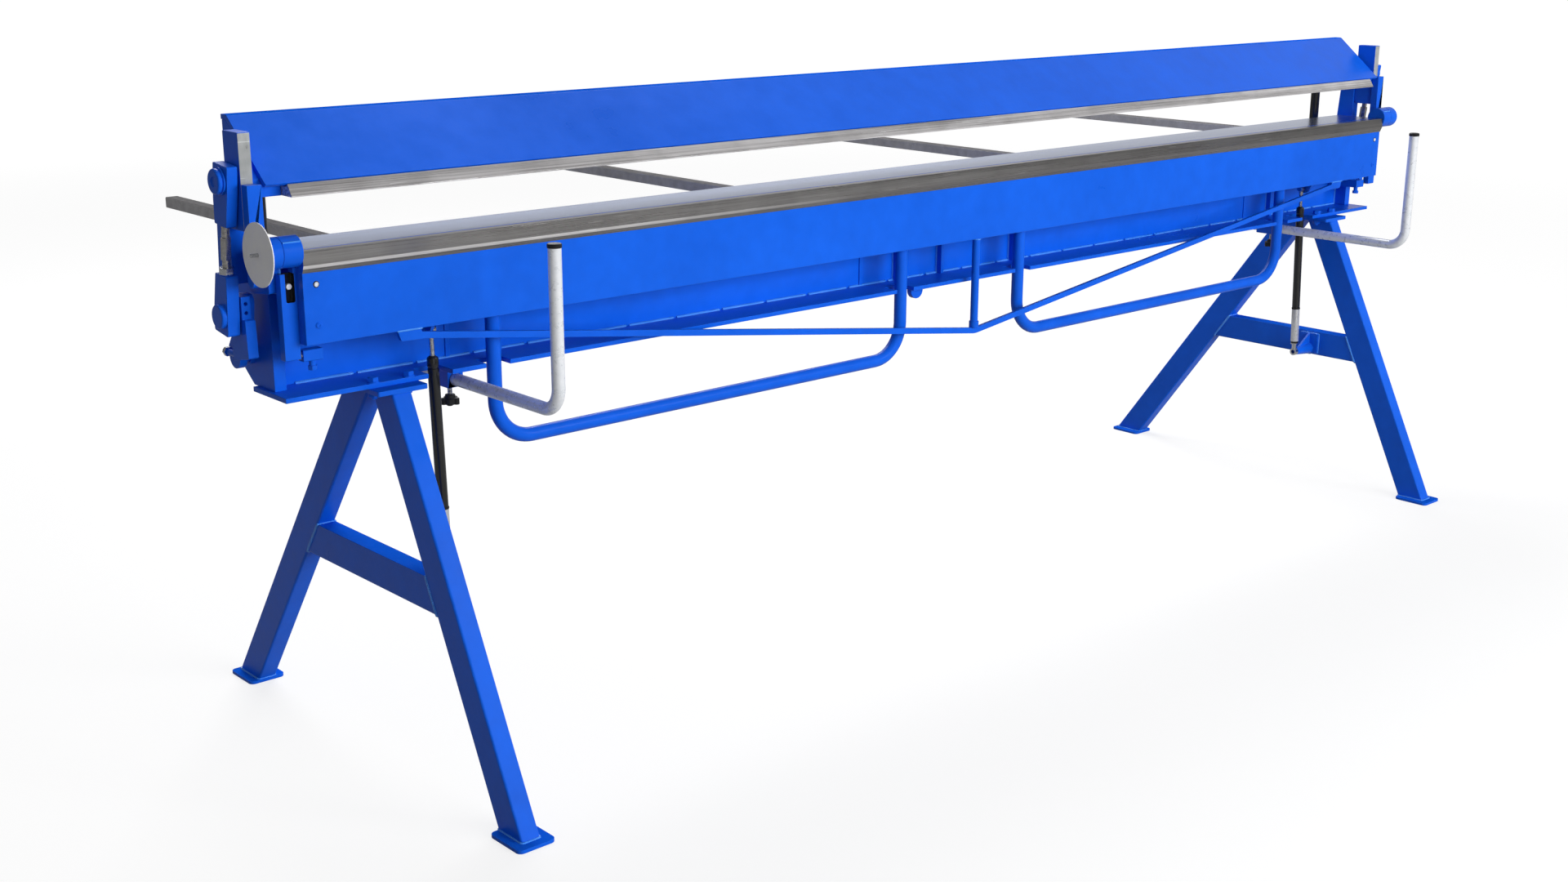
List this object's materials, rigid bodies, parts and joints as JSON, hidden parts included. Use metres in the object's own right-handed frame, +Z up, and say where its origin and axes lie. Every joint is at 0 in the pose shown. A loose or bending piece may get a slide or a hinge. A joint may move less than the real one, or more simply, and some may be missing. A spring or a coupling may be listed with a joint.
{
  "type": "sheet metal folder",
  "caption": "Manual sheet metal folder: lifting clamp beam over a table, hinged bending beam with bent bars, truss tie, gas springs, A-frame stands and rear rails.",
  "frame": {"origin": "on the floor, under the middle of the bounding box", "axes": "+X along the machine to the operator's right, -Y towards the operator, +Z up"},
  "size_m": [3.18, 1.194, 1.1],
  "materials": {
    "blue_paint": "semi-gloss",
    "bare_steel": "ground",
    "table_steel": "ground",
    "zinc": "zinc plated",
    "galvanised": "galvanised",
    "grey_rail": "satin",
    "black_paint": "semi-gloss",
    "black_plastic": "matt",
    "grey_disc": "satin"
  },
  "bodies": {
    "frame": {"table_plate": "table_steel", "bed_web": "blue_paint", "bed_flange": "blue_paint", "bed_ribs": "blue_paint", "end_plate_left": "blue_paint", "end_plate_right": "blue_paint", "hinge_post_left": "blue_paint", "hinge_post_right": "blue_paint", "front_legs": "blue_paint", "rear_legs": "blue_paint", "crossbars": "blue_paint", "head_plates": "blue_paint", "foot_plates": "blue_paint", "stand_bolts": "blue_paint", "rear_rails": "grey_rail", "rail_brackets": "blue_paint", "support_sockets": "blue_paint", "beam_stops": "blue_paint", "spring_pivots": "blue_paint", "shaft_bearings": "bare_steel", "rear_spring_rods": "zinc"},
    "bending_beam": {"bending_plate": "blue_paint", "bending_blade": "bare_steel", "hinge_arm_left": "blue_paint", "hinge_arm_right": "blue_paint", "beam_screws": "zinc", "angle_disc": "grey_disc", "bending_bar_left": "blue_paint", "bending_bar_right": "blue_paint", "bar_brackets": "blue_paint", "truss_tie": "blue_paint", "truss_strut": "blue_paint", "spring_lugs": "blue_paint"},
    "upper_beam": {"clamp_front_plate": "blue_paint", "clamp_blade": "bare_steel", "clamp_floor": "blue_paint", "clamp_ribs": "blue_paint", "guide_plate_left": "blue_paint", "guide_plate_right": "blue_paint", "link_pins": "blue_paint", "rear_spring_cylinders": "black_paint"},
    "clamp_shaft": {"clamp_shaft": "bare_steel", "clamp_cranks": "blue_paint", "clamp_lever": "blue_paint", "lever_grip": "black_plastic"},
    "link_left": {"link_upper_left": "blue_paint", "link_lower_left": "blue_paint"},
    "turnbuckle_left": {"turnbuckle_left": "zinc"},
    "spring_cylinder_left": {"spring_cylinder_left": "black_paint"},
    "spring_rod_left": {"spring_rod_left": "zinc"},
    "support_left": {"support_tube_left": "galvanised"},
    "knob_left": {"knob_left": "black_plastic"},
    "link_right": {"link_upper_right": "blue_paint", "link_lower_right": "blue_paint"},
    "turnbuckle_right": {"turnbuckle_right": "zinc"},
    "spring_cylinder_right": {"spring_cylinder_right": "black_paint"},
    "spring_rod_right": {"spring_rod_right": "zinc"},
    "support_right": {"support_tube_right": "galvanised"},
    "knob_right": {"knob_right": "black_plastic"}
  },
  "joints": [
    {"name": "bending_hinge", "type": "hinge", "parent": "frame", "child": "bending_beam", "pos_m": [0, -0.2545, 0.908], "axis": [-1, 0, 0], "range_deg": [0, 135]},
    {"name": "clamping_slide", "type": "slide", "parent": "frame", "child": "upper_beam", "axis": [0, 0, 1], "range_m": [-0.076, 0]},
    {"name": "clamp_shaft_hinge", "type": "hinge", "parent": "frame", "child": "clamp_shaft", "pos_m": [0, -0.118, 0.728], "axis": [1, 0, 0], "range_deg": [0, 59.84]},
    {"name": "link_hinge_left", "type": "hinge", "parent": "upper_beam", "child": "link_left", "pos_m": [-1.5721, -0.184, 1.011], "axis": [-1, 0, 0], "range_deg": [0, 12.33]},
    {"name": "turnbuckle_spin_left", "type": "hinge", "parent": "link_left", "child": "turnbuckle_left", "pos_m": [-1.5721, -0.17309, 0.90858], "axis": [0, 0.1059, -0.9944], "continuous": true},
    {"name": "spring_hinge_left", "type": "hinge", "parent": "bending_beam", "child": "spring_rod_left", "pos_m": [-1.251, -0.212, 0.747], "axis": [1, 0, 0], "range_deg": [0, 151.87]},
    {"name": "spring_slide_left", "type": "slide", "parent": "spring_rod_left", "child": "spring_cylinder_left", "axis": [0, -0.0388, -0.9992], "range_m": [0, 0.2665]},
    {"name": "support_slide_left", "type": "slide", "parent": "frame", "child": "support_left", "axis": [0, -1, 0], "range_m": [-0.03, 0.15]},
    {"name": "knob_spin_left", "type": "hinge", "parent": "frame", "child": "knob_left", "pos_m": [-1.1955, -0.172, 0.62], "axis": [0, 0, 1], "continuous": true},
    {"name": "link_hinge_right", "type": "hinge", "parent": "upper_beam", "child": "link_right", "pos_m": [1.5721, -0.184, 1.011], "axis": [-1, 0, 0], "range_deg": [0, 12.33]},
    {"name": "turnbuckle_spin_right", "type": "hinge", "parent": "link_right", "child": "turnbuckle_right", "pos_m": [1.5721, -0.17309, 0.90858], "axis": [0, 0.1059, -0.9944], "continuous": true},
    {"name": "spring_hinge_right", "type": "hinge", "parent": "bending_beam", "child": "spring_rod_right", "pos_m": [1.251, -0.212, 0.747], "axis": [1, 0, 0], "range_deg": [0, 151.87]},
    {"name": "spring_slide_right", "type": "slide", "parent": "spring_rod_right", "child": "spring_cylinder_right", "axis": [0, -0.0388, -0.9992], "range_m": [0, 0.2665]},
    {"name": "support_slide_right", "type": "slide", "parent": "frame", "child": "support_right", "axis": [0, -1, 0], "range_m": [-0.079, 0.101]},
    {"name": "knob_spin_right", "type": "hinge", "parent": "frame", "child": "knob_right", "pos_m": [1.1955, -0.172, 0.62], "axis": [0, 0, 1], "continuous": true}
  ],
  "couplings": [
    {"joint": "clamp_shaft_hinge", "follows": "clamping_slide", "rad_per_m": -13.719},
    {"joint": "link_hinge_left", "follows": "clamping_slide", "rad_per_m": -2.8091},
    {"joint": "spring_hinge_left", "follows": "bending_hinge", "ratio": 1.1242},
    {"joint": "spring_slide_left", "follows": "bending_hinge", "m_per_rad": 0.11299},
    {"joint": "link_hinge_right", "follows": "clamping_slide", "rad_per_m": -2.8091},
    {"joint": "spring_hinge_right", "follows": "bending_hinge", "ratio": 1.1242},
    {"joint": "spring_slide_right", "follows": "bending_hinge", "m_per_rad": 0.11299}
  ]
}
